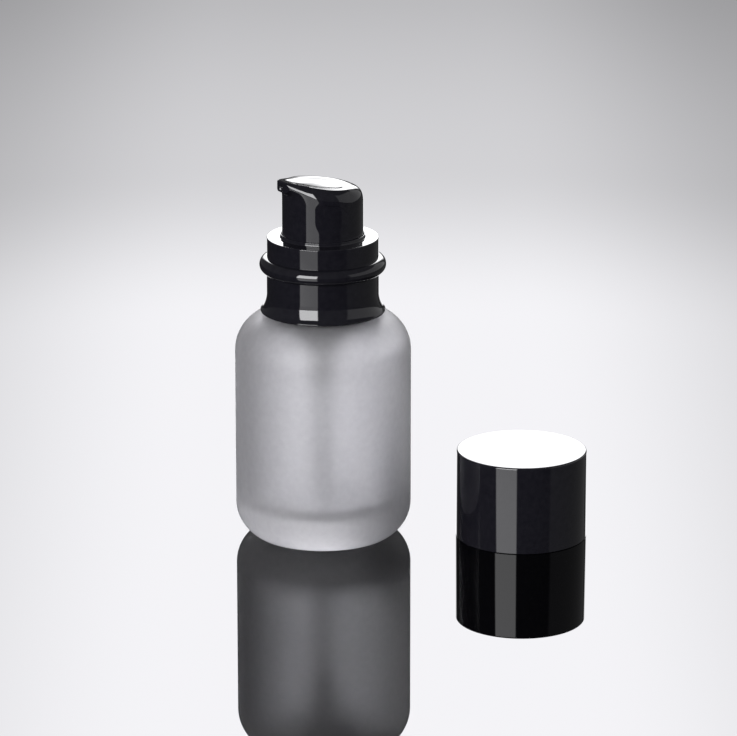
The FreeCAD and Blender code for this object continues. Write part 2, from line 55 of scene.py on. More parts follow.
# Fineness of the meshes
SHARP_ANGLE = 35
BOTTLE_SEGMENTS = 192
MOULDING_SEGMENTS = 224
BUTTON_SEGMENTS = 480
DRILL_SEGMENTS = 48
WIRE_SIDES = 12
COIL_STEPS = 36
WALL_ROWS = 26
COVE_ROWS = 14
SHOULDER_ROWS = 16
RIM_RINGS = 5
DISH_RINGS = 30
AVERAGE_STEPS = 4

# Glass bottle
BODY_R = 18.99
SHOULDER_R = 8.55
SHOULDER_TOP = 49.7
HEEL_R = 8.05
HEEL_CENTRE_Z = 7.1
WALL = 2.5
BASE_THICK = 6.8
INNER_HEEL_R = 4.0
NECK_R = 8.8
NECK_BORE_R = 6.5
NECK_TOP = 58.3
NECK_ROUND = 0.4
NECK_FILLET = 1.0
FOOT_EDGE = 0.35
FOOT_TURN = 2
# Dark and light tint, share of the light let through, roughness, grain depth in metres, sheen
GLASS_OUTSIDE = ((0.50, 0.495, 0.516), (0.56, 0.555, 0.577), 0.8, 0.60, 0.00001, 0.45)
GLASS_INSIDE = ((0.93, 0.93, 0.95), (0.97, 0.97, 0.99), 1.0, 0.05, 0.000002, 0.5)

# Collar
COLLAR_BORE_R = 11.1
COLLAR_BOTTOM = 49.95
FOOT_R = 13.46
SKIRT_R = 12.13
FOOT_ROUND = 0.12
FOOT_TOP = 50.32
FLARE_TOP = 54.04
FLARE_R = 7.1
FLARE_TILT = 25.0
TOE_R = 1.8
TOE_TILT = 55.0
BEAD_Z = 60.25
BEAD_ROUND = 1.7
BEAD_CENTRE_R = 12.0
SPIGOT_R = 12.04
COLLAR_TOP = 66.3
COLLAR_HOLE_R = 8.87
LIP_R = 9.17
LIP_TOP = 67.05
LIP_FILLET = 0.12
COLLAR_EDGE = 0.2
COLLAR_ROOF = 1.0

# Button
BUTTON_R = 8.77
BUTTON_BOTTOM = 65.6
BUTTON_INNER_R = 7.65
SPOUT_REACH = 10.2
SPOUT_HALF_WIDTH = 2.25
PAD_LOW_Z = 77.546
PAD_LOW_X = 9.17
PAD_BEND = 0.006
ROOF_Z = 75.0
FRONT_SOFTNESS = 26.0
FRONT_ANGLE = 60
SKIRT_EDGE = 0.25
# Heights and radii round the button, as pairs of angle from the spout and value
EAVE_Z = [(9, 77.3), (12.4, 77.75), (15.5, 78.3), (28.8, 77.7), (45, 76.6), (55, 75.8), (65, 75.2),
          (86, 74.7), (105, 72.0), (120, 73.4), (135, 74.1)]
RIDGE_LIFT = [(10.5, 2.1), (12.5, 1.4), (15, 0.4), (21, 0.15), (30, 0.1)]
RIM_R = [(0, 10.0), (8.5, 10.05), (26, 8.25), (37, 7.5), (51, 7.25), (77, 7.45), (112, 7.0),
         (135, 6.2), (160, 5.3), (180, 5.0)]
EAVE_SPREAD = 2.0
RIM_SPREAD = 3.0
RIM_INSET = 0.25
COVE_HEIGHT = 2.7
TIP_COVE_HEIGHT = 1.1
COVE_FADE = (9, 20)
CRISP_SLOPE = 0.476
SLOPE_FADE = (95, 150)
KNEE_LIFT = 0.05
# Hollow in the side: depth, and where it starts and ends, round the button and in height
DENT_DEPTH = 0.22
DENT_AROUND = ((45, 62), (70, 112))
DENT_UPWARD = ((68.8, 71.6), (74.3, 76.0))
# Scoop of the finger pad: the flat edge round it, and how its slope changes from front to back
DISH_DEPTH = 0.42
DISH_CENTRE_X = -0.8
DISH_EDGE = 0.86
DISH_EDGE_DROP = 0.10
DISH_EDGE_FADE = (15, 80)
DISH_POWER = 2.0
DISH_FRONT_POWER = 2.4
DISH_BACK_FADE = (60, 150)
DISH_BACK_SHARE = 0.6
# Outlet in the spout: its bore, and the height of the channel's line at the axis and at the front
OUTLET_R = 0.65
OUTLET_START_Z = 74.0
OUTLET_END_Z = 78.2
OUTLET_DEPTH = 2.0
DRILL_SPARE = 1.0

# Cap
CAP_TOP_R = 14.1
CAP_RIM_R = 14.19
CAP_BORE_R = 13.1
CAP_ROOF = 0.9
CAP_EDGE = 0.42
CAP_RIM_ROUND = 0.15
CAP_INNER_ROUND = 0.5

# Return spring, between the housing's ledge and the rod's head
SPRING_BOTTOM = 44.6
SPRING_TOP = 52.5
SPRING_R = 2.6
WIRE_R = 0.25
SPRING_TURNS = 7
CLOSED_PITCH = 0.53
SPRING_END_GAP = 0.03

# Camera, with its clip distance in metres
CAMERA_TURN = 30.0
CAMERA_DISTANCE = 968.6
CAMERA_HEIGHT = 323.85
CAMERA_PITCH = 16.508
CAMERA_YAW = 0.580
SENSOR_WIDTH = 36.0
LENS = 228.30936
CLIP_END = 100.0

# Light patches: facing, half-width, lowest and highest angle in degrees, softness of the edge, strength
BACKDROP = (CAMERA_TURN + 2, 16, 8.2, 52, 5.6, 6.6)
STRIP = (180 + CAMERA_TURN + 29, 18.5, -3, 36, 1.2, 12.0)
SIDE = (180 + CAMERA_TURN - 100, 50, -5, 34, 3, 0.5)
GLASS_SIDE = (CAMERA_TURN + 70, 45, -15, 24, 8, 3.7)
STRIP_SHARE_IN_GLASS = 0.25
AMBIENT = 0.1
SURROUND = 6.2
SURROUND_SEEN = 0.29
STUDIO_COLOUR = (0.985, 0.985, 1.0, 1)
SURROUND_COLOUR = (0.975, 0.97, 1.0, 1)

# Floor: half its width, its drop below the base and the offset of the pool of light painted on it, all in
# metres
FLOOR_HALF = 30.0
FLOOR_DROP = 0.00002
PAINTED_POOL_MIDDLE = 0.010
# Fades of the painted pool of light on the floor, and of the painted shade on its camera side: from and to
# distance in metres, brightness before and after
PAINTED_POOL_SIDES = (0.040, 0.130, 1.0, 0.70)
PAINTED_POOL_NEAR = (0.17, 0.33, 1.0, 0.72)
PAINTED_POOL_FAR = (0.28, 0.75, 1.0, 0.62)
# Painted shade: the floor mirrors less to other rays on the camera's side
PAINTED_BOUNCE_SHADE = (-0.26, -0.03, 0.62, 1.0)
# Share of the light that the floor mirrors to the camera, to other rays, and to rays through glass
FLOOR_SEEN = 0.15
FLOOR_BOUNCED = 0.225
FLOOR_BOUNCED_IN_GLASS = 0.48
BOUNCE_ROUGHNESS = 0.03


# ---------------------------------------------------------------- mesh helpers

def arc(centre_r, centre_z, radius, start, end, steps):
    """Points of an arc in the (r, z) plane, angles in degrees from +r towards +z."""
    points = []
    for i in range(steps + 1):
        turn = math.radians(start + (end - start) * i / steps)
        points.append((centre_r + radius * math.cos(turn), centre_z + radius * math.sin(turn)))
    return points


def new_object(name, vertices, faces):
    """A smooth-shaded mesh object from millimetre vertices."""
    mesh = bpy.data.meshes.new(name)
    mesh.from_pydata([(x * MM, y * MM, z * MM) for x, y, z in vertices], [], faces)
    mesh.validate()
    mesh.polygons.foreach_set("use_smooth", [True] * len(mesh.polygons))
    mesh.set_sharp_from_angle(angle=math.radians(SHARP_ANGLE))
    piece = bpy.data.objects.new(name, mesh)
    bpy.context.scene.collection.objects.link(piece)
    return piece


def lathe(profile, segments, centre=(0.0, 0.0)):
    """Vertices and faces of a closed outline of (r, z) points turned about a vertical axis."""
    vertices = []
    rings = []
    for r, z in profile:
        if r == 0:
            rings.append([len(vertices)] * segments)
            vertices.append((centre[0], centre[1], z))
            continue
        rings.append(list(range(len(vertices), len(vertices) + segments)))
        for k in range(segments):
            turn = 2 * math.pi * k / segments
            vertices.append((centre[0] + r * math.cos(turn), centre[1] + r * math.sin(turn), z))
    faces = []
    for here, after in zip(rings, rings[1:] + rings[:1]):
        for k in range(segments):
            m = (k + 1) % segments
            face = []
            for corner in (here[k], here[m], after[m], after[k]):
                if corner not in face:
                    face.append(corner)
            if len(face) > 2:
                faces.append(face)
    return vertices, faces


# ---------------------------------------------------------------- node helpers

class Shader:
    """A material being built: short calls to add and link nodes."""

    def __init__(self, tree):
        self.tree = tree

    def add(self, kind):
        return self.tree.nodes.new(kind)

    def link(self, source, target):
        self.tree.links.new(source, target)

    def math(self, operation, first, second=None, third=None):
        """One sum, of numbers or of other nodes' outputs."""
        node = self.add("ShaderNodeMath")
        node.operation = operation
        for slot, value in enumerate((first, second, third)):
            if value is None:
                continue
            if isinstance(value, (int, float)):
                node.inputs[slot].default_value = value
            else:
                self.link(value, node.inputs[slot])
        return node.outputs[0]

    def ramp(self, value, low, high, out_low=0.0, out_high=1.0):
        """An eased step from out_low, where the value is low, to out_high, where it is high."""
        node = self.add("ShaderNodeMapRange")
        node.interpolation_type = "SMOOTHSTEP"
        self.link(value, node.inputs[0])
        for slot, number in enumerate((low, high, out_low, out_high), start=1):
            node.inputs[slot].default_value = number
        return node.outputs[0]


def material(name):
    """A new node material with its Principled shader."""
    mat = bpy.data.materials.new(name)
    mat.use_nodes = True
    shader = Shader(mat.node_tree)
    principled = mat.node_tree.nodes["Principled BSDF"]
    return mat, shader, principled


def noise(shader, scale, detail=2.0, seed=0.0):
    """Noise over object space, in features per metre. The seed only moves it."""
    coordinates = shader.add("ShaderNodeTexCoord")
    place = shader.add("ShaderNodeMapping")
    place.inputs["Location"].default_value = (seed, seed * 0.7, -seed)
    shader.link(coordinates.outputs["Object"], place.inputs["Vector"])
    texture = shader.add("ShaderNodeTexNoise")
    texture.inputs["Scale"].default_value = scale
    texture.inputs["Detail"].default_value = detail
    shader.link(place.outputs["Vector"], texture.inputs["Vector"])
    return texture.outputs["Fac"]


def tint(shader, principled, factor, dark, light):
    """Base colour that drifts between two close colours with a factor."""
    ramp = shader.add("ShaderNodeValToRGB")
    ramp.color_ramp.elements[0].position = 0.3
    ramp.color_ramp.elements[1].position = 0.7
    ramp.color_ramp.elements[0].color = (*dark, 1)
    ramp.color_ramp.elements[1].color = (*light, 1)
    shader.link(factor, ramp.inputs["Fac"])
    shader.link(ramp.outputs["Color"], principled.inputs["Base Color"])


def bump(shader, principled, height, distance, strength):
    """Surface relief, with its distance in metres."""
    node = shader.add("ShaderNodeBump")
    node.inputs["Strength"].default_value = strength
    node.inputs["Distance"].default_value = distance
    shader.link(height, node.inputs["Height"])
    shader.link(node.outputs["Normal"], principled.inputs["Normal"])


def gloss_black():
    """Polished black moulding: near-black, faint mould waviness and a few hazier patches."""
    mat, shader, principled = material("gloss_black")
    tint(shader, principled, noise(shader, 900, 3), (0.0055, 0.0053, 0.0078), (0.0080, 0.0077, 0.0105))
    principled.inputs["IOR"].default_value = 1.5
    rough = shader.ramp(noise(shader, 260, 4, 3.0), 0.3, 0.75, 0.035, 0.06)
    shader.link(rough, principled.inputs["Roughness"])
    bump(shader, principled, noise(shader, 110, 1, 5.0), 0.00002, 0.2)
    return mat


def plastic(name, dark, light, roughness, grain, grain_depth, transmission=0.0):
    """Moulded plastic with a fine grain and a slow colour drift."""
    mat, shader, principled = material(name)
    tint(shader, principled, noise(shader, 150, 2), dark, light)
    principled.inputs["IOR"].default_value = 1.49
    rough = shader.ramp(noise(shader, grain, 3, 2.0), 0.3, 0.7, roughness * 0.85, roughness * 1.15)
    shader.link(rough, principled.inputs["Roughness"])
    principled.inputs["Transmission Weight"].default_value = transmission
    bump(shader, principled, noise(shader, grain, 3, 8.0), grain_depth, 0.5)
    return mat


def metal(name, colour, roughness):
    """Bright steel with fine variation in tint and polish."""
    mat, shader, principled = material(name)
    tint(shader, principled, noise(shader, 2500, 2), tuple(c * 0.9 for c in colour), colour)
    principled.inputs["Metallic"].default_value = 1.0
    rough = shader.ramp(noise(shader, 1800, 2, 4.0), 0.3, 0.7, roughness * 0.7, roughness * 1.4)
    shader.link(rough, principled.inputs["Roughness"])
    return mat


def glass(name, dark, light, clear_share, roughness, grain_depth, sheen):
    """Glass surface: clear_share of the light goes through, the rest is scattered by the etching."""
    mat, shader, principled = material(name)
    principled.inputs["Transmission Weight"].default_value = clear_share
    principled.inputs["IOR"].default_value = 1.5
    principled.inputs["Specular IOR Level"].default_value = sheen
    tint(shader, principled, noise(shader, 700, 3), dark, light)
    rough = shader.ramp(noise(shader, 5000, 2, 1.0), 0.3, 0.7, roughness * 0.92, roughness * 1.08)
    shader.link(rough, principled.inputs["Roughness"])
    bump(shader, principled, noise(shader, 6000, 2, 6.0), grain_depth, 0.25)
    return mat


# ---------------------------------------------------------------- pieces

def bottle_outside():
    """Outline of the etched outside, from the middle of the base up to the neck's mouth."""
    heel_r = BODY_R - HEEL_R
    heel_end = -math.degrees(math.asin(HEEL_CENTRE_Z / HEEL_R))
    shoulder_r = BODY_R - SHOULDER_R
    foot_r = heel_r + HEEL_R * math.cos(math.radians(heel_end))
    points = [(0, 0), (foot_r * 0.5, 0), (foot_r - FOOT_EDGE, 0)]
    points += arc(heel_r, HEEL_CENTRE_Z, HEEL_R, heel_end + FOOT_TURN, 0, 28)
    points += arc(shoulder_r, SHOULDER_TOP - SHOULDER_R, SHOULDER_R, 0, 90, 32)
    points += arc(NECK_R + NECK_FILLET, SHOULDER_TOP + NECK_FILLET, NECK_FILLET, 270, 180, 8)
    points += arc(NECK_R - NECK_ROUND, NECK_TOP - NECK_ROUND, NECK_ROUND, 0, 90, 6)
    return points


def bottle_inside():
    """Outline of the smooth inside, from the neck's mouth down to the middle of the floor."""
    inner_r = BODY_R - WALL
    points = arc(NECK_BORE_R + NECK_ROUND, NECK_TOP - NECK_ROUND, NECK_ROUND, 90, 180, 6)
    points += arc(NECK_BORE_R + NECK_FILLET, SHOULDER_TOP - WALL + NECK_FILLET, NECK_FILLET, 180, 270, 6)
    points += arc(BODY_R - SHOULDER_R, SHOULDER_TOP - SHOULDER_R, SHOULDER_R - WALL, 90, 0, 28)
    points += arc(inner_r - INNER_HEEL_R, BASE_THICK + INNER_HEEL_R, INNER_HEEL_R, 0, -90, 24)
    points += [(inner_r * 0.4, BASE_THICK), (0, BASE_THICK)]
    return points


def make_bottle():
    """The glass, etched outside and smooth inside."""
    outside = bottle_outside()
    piece = new_object("glass_body", *lathe(outside + bottle_inside(), BOTTLE_SEGMENTS))
    piece.data.materials.append(glass("etched_glass", *GLASS_OUTSIDE))
    piece.data.materials.append(glass("smooth_glass", *GLASS_INSIDE))
    etched_faces = BOTTLE_SEGMENTS * (len(outside) - 1)
    for polygon in piece.data.polygons:
        polygon.material_index = 0 if polygon.index < etched_faces else 1
    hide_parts("glass_bottle")
    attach(piece, "bottle")


def collar_profile():
    """Outline of the collar: foot, flare, bead, spigot, lip round the hole, and the bore."""
    flare_centre = (SKIRT_R + FLARE_R, FLARE_TOP)
    turn = math.radians(180 + FLARE_TILT)
    toe_centre = (flare_centre[0] + (FLARE_R - TOE_R) * math.cos(turn),
                  flare_centre[1] + (FLARE_R - TOE_R) * math.sin(turn))
    bead_low = -math.degrees(math.acos((SKIRT_R - BEAD_CENTRE_R) / BEAD_ROUND))
    bead_high = math.degrees(math.acos((SPIGOT_R - BEAD_CENTRE_R) / BEAD_ROUND))
    lip_round = (LIP_R - COLLAR_HOLE_R) / 2
    roof = COLLAR_TOP - COLLAR_ROOF
    points = [(COLLAR_BORE_R, COLLAR_BOTTOM)]
    points += arc(FOOT_R - FOOT_ROUND, COLLAR_BOTTOM + FOOT_ROUND, FOOT_ROUND, 270, 345, 4)
    points += arc(FOOT_R - FOOT_ROUND, FOOT_TOP - FOOT_ROUND, FOOT_ROUND, 0, 35, 4)
    points += arc(*toe_centre, TOE_R, 180 + TOE_TILT, 180 + FLARE_TILT, 10)
    points += arc(*flare_centre, FLARE_R, 180 + FLARE_TILT, 180, 20)
    points += arc(BEAD_CENTRE_R, BEAD_Z, BEAD_ROUND, bead_low, bead_high, 40)
    points += arc(SPIGOT_R - COLLAR_EDGE, COLLAR_TOP - COLLAR_EDGE, COLLAR_EDGE, 0, 90, 8)
    points += arc(LIP_R + LIP_FILLET, COLLAR_TOP + LIP_FILLET, LIP_FILLET, 270, 180, 5)
    points += arc(LIP_R - lip_round, LIP_TOP - lip_round, lip_round, 0, 180, 12)
    points += [(COLLAR_HOLE_R, roof), (COLLAR_BORE_R, roof)]
    return points


def make_collar(black):
    """The collar's outer shell."""
    piece = new_object("collar", *lathe(collar_profile(), MOULDING_SEGMENTS))
    piece.data.materials.append(black)
    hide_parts("collar_shell")
    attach(piece, "closure")


def cap_profile(height):
    """Outline of the cap, which stands on its open rim."""
    points = arc(CAP_RIM_R - CAP_RIM_ROUND, CAP_RIM_ROUND, CAP_RIM_ROUND, 270, 360, 5)
    points += arc(CAP_TOP_R - CAP_EDGE, height - CAP_EDGE, CAP_EDGE, 0, 90, 10)
    ceiling = height - CAP_ROOF
    points += [(CAP_TOP_R * 0.5, height), (0, height), (0, ceiling)]
    points += arc(CAP_BORE_R - CAP_INNER_ROUND, ceiling - CAP_INNER_ROUND, CAP_INNER_ROUND, 90, 0, 5)
    points += [(CAP_BORE_R, 0)]
    return points


def make_cap(black):
    """The cap's outer shell, where the CAD has it."""
    low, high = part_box("overcap_shell")
    centre = ((low.x + high.x) / 2 / MM, (low.y + high.y) / 2 / MM)
    piece = new_object("overcap", *lathe(cap_profile(high.z / MM), MOULDING_SEGMENTS, centre))
    piece.data.materials.append(black)
    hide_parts("overcap_shell")
    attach(piece, "overcap")


def along_places(value, places):
    """Straight steps through (place, height) pairs, flat outside them."""
    if value <= places[0][0]:
        return places[0][1]
    for (x0, y0), (x1, y1) in zip(places, places[1:]):
        if value <= x1:
            share = (value - x0) / (x1 - x0)
            return y0 + (y1 - y0) * share
    return places[-1][1]


def smooth(value, low, high):
    """0 below low, 1 above high, eased between."""
    share = min(max((value - low) / (high - low), 0.0), 1.0)
    return share * share * (3 - 2 * share)


def soft_places(value, places, spread):
    """along_places averaged over a small spread, so that the steps leave no corners."""
    total = 0.0
    for i in range(-AVERAGE_STEPS, AVERAGE_STEPS + 1):
        total += along_places(abs(value + spread * i / AVERAGE_STEPS), places)
    return total / (2 * AVERAGE_STEPS + 1)


def teardrop_radius(turn):
    """Distance from the axis to the button's outline at an angle from the spout's direction."""
    angle = abs(turn)
    corner = math.atan2(SPOUT_HALF_WIDTH, SPOUT_REACH)
    touch = corner + math.acos(BUTTON_R / math.hypot(SPOUT_REACH, SPOUT_HALF_WIDTH))
    if angle >= touch:
        return BUTTON_R
    side = BUTTON_R / math.cos(touch - angle)
    front = SPOUT_REACH / math.cos(angle) if angle < math.radians(FRONT_ANGLE) else side
    return (side ** -FRONT_SOFTNESS + front ** -FRONT_SOFTNESS) ** (-1 / FRONT_SOFTNESS)


def pad_height(x):
    """Height of the pad's crest surface, which curves gently up towards the spout."""
    return PAD_LOW_Z + PAD_BEND * (PAD_LOW_X - x) ** 2


def dent(degrees, z):
    """Depth of the shallow hollow in the button's side, below the end of the spout's ridge."""
    around = smooth(degrees, *DENT_AROUND[0]) * (1 - smooth(degrees, *DENT_AROUND[1]))
    upward = smooth(z, *DENT_UPWARD[0]) * (1 - smooth(z, *DENT_UPWARD[1]))
    return DENT_DEPTH * around * upward


def button_column(turn):
    """Outer profile of the button at one angle from the spout: (r, z) from the skirt to the pad's rim."""
    degrees = abs(math.degrees(turn))
    outer = teardrop_radius(turn)
    reach = outer - BUTTON_R
    eave = soft_places(degrees, EAVE_Z, EAVE_SPREAD)
    ridge = eave + soft_places(degrees, RIDGE_LIFT, EAVE_SPREAD)
    cove = TIP_COVE_HEIGHT + (COVE_HEIGHT - TIP_COVE_HEIGHT) * smooth(degrees, *COVE_FADE)
    foot = eave - cove
    points = [(BUTTON_R - SKIRT_EDGE, BUTTON_BOTTOM)]
    for i in range(WALL_ROWS):
        z = BUTTON_BOTTOM + SKIRT_EDGE + (foot - BUTTON_BOTTOM - SKIRT_EDGE) * i / WALL_ROWS
        points.append((BUTTON_R - dent(degrees, z), z))
    for i in range(COVE_ROWS + 1):
        share = i / COVE_ROWS
        z = foot + share * cove
        points.append((BUTTON_R + reach * (1 - math.cos(share * math.pi / 2)) - dent(degrees, z), z))
    rim_r = min(soft_places(degrees, RIM_R, RIM_SPREAD), outer - RIM_INSET)
    rim_z = pad_height(-rim_r * math.cos(turn))
    tangent = -2 * PAD_BEND * (PAD_LOW_X + rim_r * math.cos(turn)) * math.cos(turn)
    slope = CRISP_SLOPE + (tangent - CRISP_SLOPE) * smooth(degrees, *SLOPE_FADE)
    knee_z = max(rim_z - (outer - rim_r) * slope, ridge + KNEE_LIFT)
    for i in range(SHOULDER_ROWS + 1):
        t = i / SHOULDER_ROWS
        r = (1 - t) ** 2 * outer + 2 * t * (1 - t) * outer + t * t * rim_r
        z = (1 - t) ** 2 * ridge + 2 * t * (1 - t) * knee_z + t * t * rim_z
        points.append((r, z))
    return points


def cut_outlet(piece):
    """Bore the outlet into the spout's front, along the slightly rising channel."""
    length = OUTLET_DEPTH + DRILL_SPARE
    outline = [(0, 0), (OUTLET_R, 0), (OUTLET_R, length), (0, length)]
    drill = new_object("outlet_drill", *lathe(outline, DRILL_SEGMENTS))
    climb = OUTLET_END_Z - OUTLET_START_Z
    share = (SPOUT_REACH - OUTLET_DEPTH) / SPOUT_REACH
    drill.rotation_euler.y = -math.pi / 2 + math.atan2(climb, SPOUT_REACH)
    drill.location = (-SPOUT_REACH * share * MM, 0, (OUTLET_START_Z + climb * share) * MM)
    cut = piece.modifiers.new("outlet", "BOOLEAN")
    cut.operation = "DIFFERENCE"
    cut.solver = "EXACT"
    cut.object = drill
    bpy.context.view_layer.update()
    whole = piece.evaluated_get(bpy.context.evaluated_depsgraph_get())
    mesh = bpy.data.meshes.new_from_object(whole)
    piece.modifiers.clear()
    piece.data = mesh
    bpy.data.objects.remove(drill)


def pad_column(turn, rim_r):
    """The finger pad from its rim in towards its middle, at one angle from the spout: (x, y, z)."""
    degrees = abs(math.degrees(turn))
    rim_x = -rim_r * math.cos(turn)
    rim_y = rim_r * math.sin(turn)
    edge = DISH_EDGE - DISH_EDGE_DROP * smooth(degrees, *DISH_EDGE_FADE)
    front = 1 - smooth(degrees, *DISH_BACK_FADE) * DISH_BACK_SHARE
    shares = [1 - (1 - edge) * i / RIM_RINGS for i in range(1, RIM_RINGS)]
    shares += [edge * (1 - i / DISH_RINGS) for i in range(DISH_RINGS)]
    points = []
    for share in shares:
        x = DISH_CENTRE_X + (rim_x - DISH_CENTRE_X) * share
        depth = DISH_DEPTH * max(0.0, 1 - (share / edge) ** (DISH_POWER + DISH_FRONT_POWER * front))
        points.append((x, rim_y * share, pad_height(x) - depth))
    return points


def button_mesh():
    """Vertices and faces of the button: one skin for its sides and pad, and a plain bore inside."""
    turns = [-math.pi + 2 * math.pi * k / BUTTON_SEGMENTS for k in range(BUTTON_SEGMENTS)]
    vertices = []
    grid = []
    for turn in turns:
        column = button_column(turn)
        strip = [(-r * math.cos(turn), r * math.sin(turn), z) for r, z in column]
        strip += pad_column(turn, column[-1][0])
        grid.append(range(len(vertices), len(vertices) + len(strip)))
        vertices += strip
    middle = len(vertices)
    vertices.append((DISH_CENTRE_X, 0, pad_height(DISH_CENTRE_X) - DISH_DEPTH))
    inner = []
    for turn in turns:
        x = -BUTTON_INNER_R * math.cos(turn)
        y = BUTTON_INNER_R * math.sin(turn)
        inner.append((len(vertices), len(vertices) + 1))
        vertices += [(x, y, BUTTON_BOTTOM), (x, y, ROOF_Z)]
    roof_middle = len(vertices)
    vertices.append((0, 0, ROOF_Z))
    faces = []
    for k in range(BUTTON_SEGMENTS):
        m = (k + 1) % BUTTON_SEGMENTS
        for i in range(len(grid[k]) - 1):
            faces.append((grid[k][i], grid[k][i + 1], grid[m][i + 1], grid[m][i]))
        faces.append((grid[k][-1], middle, grid[m][-1]))
        faces.append((inner[k][0], grid[k][0], grid[m][0], inner[m][0]))
        faces.append((inner[k][1], inner[k][0], inner[m][0], inner[m][1]))
        faces.append((inner[k][1], inner[m][1], roof_middle))
    return vertices, faces


def make_button(black):
    """The push button: side wall with a cove under the spout, rounded shoulder, rim and scooped pad."""
    piece = new_object("push_button", *button_mesh())
    cut_outlet(piece)
    piece.data.materials.append(black)
    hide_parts("actuator_shell")
    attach(piece, "button")


def spring_path():
    """Centre line of the spring: a closed coil at each end and open coils between."""
    height = SPRING_TOP - SPRING_BOTTOM - 2 * (WIRE_R + SPRING_END_GAP)
    open_pitch = (height - 2 * CLOSED_PITCH) / (SPRING_TURNS - 2)
    points = []
    for step in range(SPRING_TURNS * COIL_STEPS + 1):
        turns = step / COIL_STEPS
        open_turns = min(max(turns - 1, 0), SPRING_TURNS - 2)
        rise = open_turns * open_pitch + (turns - open_turns) * CLOSED_PITCH
        points.append((2 * math.pi * turns, SPRING_BOTTOM + WIRE_R + SPRING_END_GAP + rise))
    return points


def make_spring():
    """The return spring: a fixed coil from the housing's ledge to the rod's head, carried by the plunger's
    body.
    """
    vertices = []
    faces = []
    path = spring_path()
    for turn, height in path:
        for side in range(WIRE_SIDES):
            around = 2 * math.pi * side / WIRE_SIDES
            r = SPRING_R + WIRE_R * math.cos(around)
            vertices.append((r * math.cos(turn), r * math.sin(turn), height + WIRE_R * math.sin(around)))
    for step in range(len(path) - 1):
        for side in range(WIRE_SIDES):
            here = step * WIRE_SIDES
            after = here + WIRE_SIDES
            following = (side + 1) % WIRE_SIDES
            faces.append((here + side, after + side, after + following, here + following))
    last = (len(path) - 1) * WIRE_SIDES
    faces.append(tuple(range(WIRE_SIDES)))
    faces.append(tuple(last + side for side in reversed(range(WIRE_SIDES))))
    piece = new_object("coil_spring", vertices, faces)
    piece.data.materials.append(metal("spring_wire", (0.62, 0.62, 0.64), 0.22))
    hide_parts("return_spring")
    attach(piece, "plunger")
    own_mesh(piece)


def dress_inner_pieces():
    """Materials for the CAD pieces that stay as they are."""
    white = plastic("white_moulding", (0.80, 0.80, 0.77), (0.86, 0.86, 0.84), 0.35, 2600, 0.00001)
    natural = plastic("natural_moulding", (0.74, 0.75, 0.74), (0.82, 0.83, 0.82), 0.28, 2200, 0.00001, 0.35)
    tube = plastic("tube_plastic", (0.80, 0.82, 0.82), (0.88, 0.89, 0.89), 0.2, 1500, 0.00001, 0.6)
    seal = plastic("soft_seal", (0.70, 0.70, 0.67), (0.78, 0.78, 0.75), 0.55, 3500, 0.00002)
    foam = plastic("foam_seal", (0.80, 0.80, 0.77), (0.88, 0.88, 0.86), 0.8, 5000, 0.00005)
    satin = plastic("black_satin", (0.012, 0.012, 0.014), (0.02, 0.02, 0.023), 0.32, 3000, 0.00001)
    ball = metal("ball_steel", (0.75, 0.75, 0.77), 0.06)
    looks = {
        "threaded_closure": white,
        "stem_guide": white,
        "piston_rod": white,
        "pump_housing": natural,
        "stem": natural,
        "dip_tube": tube,
        "vent_seal": seal,
        "piston": seal,
        "neck_gasket": foam,
        "actuator_core": satin,
        "overcap_liner": satin,
        "inlet_ball": ball,
    }
    for node, look in looks.items():
        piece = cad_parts[node]
        piece.data.materials.clear()
        piece.data.materials.append(look)


# ---------------------------------------------------------------- studio

def turned_parts(shader, vector, facing):
    """A vector's parts ahead along a facing, aside to the right of it, and up."""
    turn = math.radians(facing)
    split = shader.add("ShaderNodeSeparateXYZ")
    shader.link(vector, split.inputs[0])
    x, y, up = split.outputs
    ahead = shader.math("ADD", shader.math("MULTIPLY", x, math.sin(turn)),
                        shader.math("MULTIPLY", y, math.cos(turn)))
    aside = shader.math("SUBTRACT", shader.math("MULTIPLY", x, math.cos(turn)),
                        shader.math("MULTIPLY", y, math.sin(turn)))
    return ahead, aside, up


def panel(shader, direction, facing, half_width, low, high, edge, strength):
    """A soft-edged patch of light on the far sky, between two heights above the horizon."""
    ahead, aside, up = turned_parts(shader, direction, facing)
    away = shader.math("ABSOLUTE", shader.math("ARCTAN2", aside, ahead))
    across = shader.ramp(away, math.radians(half_width + edge), math.radians(half_width - edge))
    rise = shader.math("ARCSINE", up)
    above = shader.ramp(rise, math.radians(low - edge), math.radians(low + edge))
    below = shader.ramp(rise, math.radians(high + edge), math.radians(high - edge))
    inside = shader.math("MULTIPLY", across, shader.math("MULTIPLY", above, below))
    return shader.math("MULTIPLY", inside, strength)


